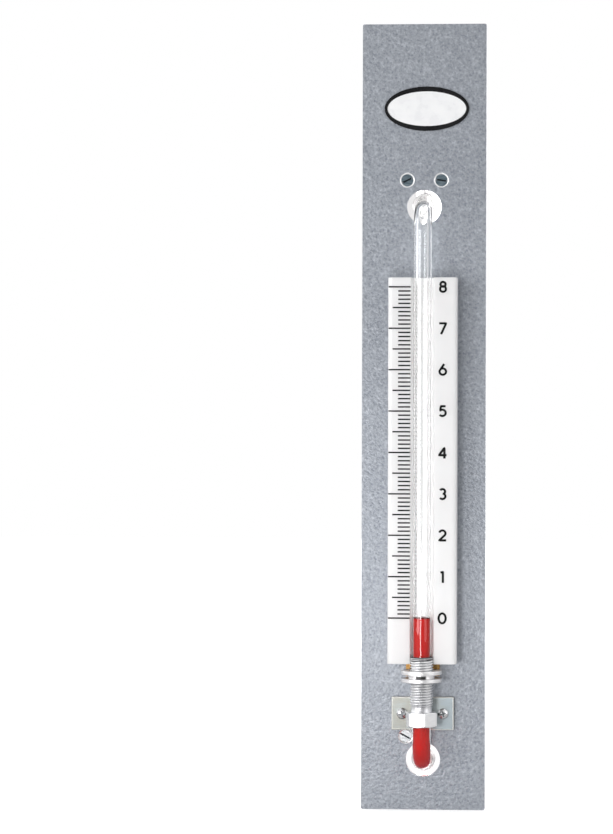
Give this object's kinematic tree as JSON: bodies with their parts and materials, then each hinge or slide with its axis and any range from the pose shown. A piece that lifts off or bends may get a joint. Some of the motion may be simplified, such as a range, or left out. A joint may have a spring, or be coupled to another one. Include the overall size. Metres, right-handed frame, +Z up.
{
  "type": "well type manometer",
  "caption": "Wall-hung well-type liquid manometer: clear upright tube before a scale that a zero nut raises, with clear well and overflow trap blocks closed by float valves and hose connectors",
  "frame": {"origin": "centre of the flat back face of the well block, the face that rests on the wall", "axes": "+Y is the outward normal of the blocks' back faces, into the wall; +Z is up along the panel and the tube; +X is to the right as one faces the scale"},
  "size_m": [0.0768, 0.0716, 0.487],
  "materials": {
    "panel_paint": "grey-blue hammered paint, satin",
    "oval_enamel": "white field with a black rim",
    "clear_block": "clear acrylic, polished faces",
    "clear_tube": "clear rigid tube",
    "clear_cage": "clear moulded plastic",
    "milky_nylon": "translucent off-white nylon",
    "tan_float": "pinkish tan, matt",
    "seal_rubber": "black rubber",
    "pale_seal": "translucent silicone rubber",
    "dark_steel": "dark oxidised steel",
    "gauge_liquid": "clear red gauge oil",
    "bright_nickel": "bright nickel plate",
    "zinc_screw": "bluish zinc plate",
    "yellow_zinc": "yellow-green zinc plate with brushed lines",
    "strip_brass": "brass, lightly tarnished",
    "white_scale": "white satin plastic with black graduations"
  },
  "bodies": {
    "stand": {"back_panel": "panel_paint", "oval_plate": "oval_enamel", "trap_block": "clear_block", "well_block": "clear_block", "trap_screws": "zinc_screw", "well_screws": "zinc_screw", "indicating_tube": "clear_tube", "elbow_tube": "clear_tube", "trap_tube_ring": "pale_seal", "well_tube_ring": "pale_seal", "tube_liquid": "gauge_liquid", "well_liquid": "gauge_liquid", "tube_fitting": "bright_nickel", "packing_ring": "seal_rubber", "clamp_plate": "yellow_zinc", "clamp_stud": "dark_steel", "clamp_washers": "zinc_screw", "clamp_screws": "bright_nickel"},
    "carriage": {"scale_bar": "white_scale", "scale_bracket": "strip_brass", "bracket_screws": "zinc_screw"},
    "nut": {"zero_nut": "bright_nickel"},
    "trap_plug_carrier": {"trap_plug_ring": "seal_rubber"},
    "trap_closure": {"trap_plug": "milky_nylon", "trap_cage": "clear_cage"},
    "trap_stem_carrier": {"trap_stem_ring": "seal_rubber"},
    "trap_tap": {"trap_connector": "milky_nylon", "trap_seat_disc": "seal_rubber"},
    "trap_valve": {"trap_float": "tan_float"},
    "well_plug_carrier": {"well_plug_ring": "seal_rubber"},
    "well_closure": {"well_plug": "milky_nylon", "well_cage": "clear_cage"},
    "well_stem_carrier": {"well_stem_ring": "seal_rubber"},
    "well_tap": {"well_connector": "milky_nylon", "well_seat_disc": "seal_rubber"},
    "well_valve": {"well_float": "tan_float"}
  },
  "joints": [
    {"name": "scale_slide", "type": "slide", "parent": "stand", "child": "carriage", "axis": [0, 0, 1], "range_m": [-0.00794, 0.00635]},
    {"name": "zero_nut_turn", "type": "hinge", "parent": "carriage", "child": "nut", "pos_m": [0, -0.059, -0.0124], "axis": [0, 0, 1], "range_deg": [-1800, 1440]},
    {"name": "trap_plug_rise", "type": "slide", "parent": "stand", "child": "trap_plug_carrier", "axis": [0, 0, 1], "range_m": [0, 0.009]},
    {"name": "trap_plug_turn", "type": "hinge", "parent": "trap_plug_carrier", "child": "trap_closure", "pos_m": [0, -0.0158, 0.3462], "axis": [0, 0, 1], "range_deg": [0, 2160]},
    {"name": "trap_connector_rise", "type": "slide", "parent": "trap_closure", "child": "trap_stem_carrier", "axis": [0, 0, 1], "range_m": [-0.0057, 0]},
    {"name": "trap_connector_turn", "type": "hinge", "parent": "trap_stem_carrier", "child": "trap_tap", "pos_m": [0, -0.0158, 0.3462], "axis": [0, 0, 1], "range_deg": [-720, 0]},
    {"name": "trap_float_rise", "type": "slide", "parent": "trap_closure", "child": "trap_valve", "axis": [0, 0, 1], "range_m": [0, 0.0057]},
    {"name": "well_plug_rise", "type": "slide", "parent": "stand", "child": "well_plug_carrier", "axis": [0, 0, 1], "range_m": [0, 0.009]},
    {"name": "well_plug_turn", "type": "hinge", "parent": "well_plug_carrier", "child": "well_closure", "pos_m": [0, -0.0171, 0.0794], "axis": [0, 0, 1], "range_deg": [0, 2160]},
    {"name": "well_connector_rise", "type": "slide", "parent": "well_closure", "child": "well_stem_carrier", "axis": [0, 0, 1], "range_m": [-0.00089, 0.0057]},
    {"name": "well_connector_turn", "type": "hinge", "parent": "well_stem_carrier", "child": "well_tap", "pos_m": [0, -0.0171, 0.0794], "axis": [0, 0, 1], "range_deg": [-112.5, 720]},
    {"name": "well_float_rise", "type": "slide", "parent": "well_closure", "child": "well_valve", "axis": [0, 0, 1], "range_m": [0, 0.0015]}
  ],
  "couplings": [
    {"joint": "zero_nut_turn", "follows": "scale_slide", "rad_per_m": 3957.9},
    {"joint": "trap_plug_turn", "follows": "trap_plug_rise", "rad_per_m": 4188.8},
    {"joint": "trap_connector_turn", "follows": "trap_connector_rise", "rad_per_m": 2204.6},
    {"joint": "well_plug_turn", "follows": "well_plug_rise", "rad_per_m": 4188.8},
    {"joint": "well_connector_turn", "follows": "well_connector_rise", "rad_per_m": 2204.6}
  ]
}
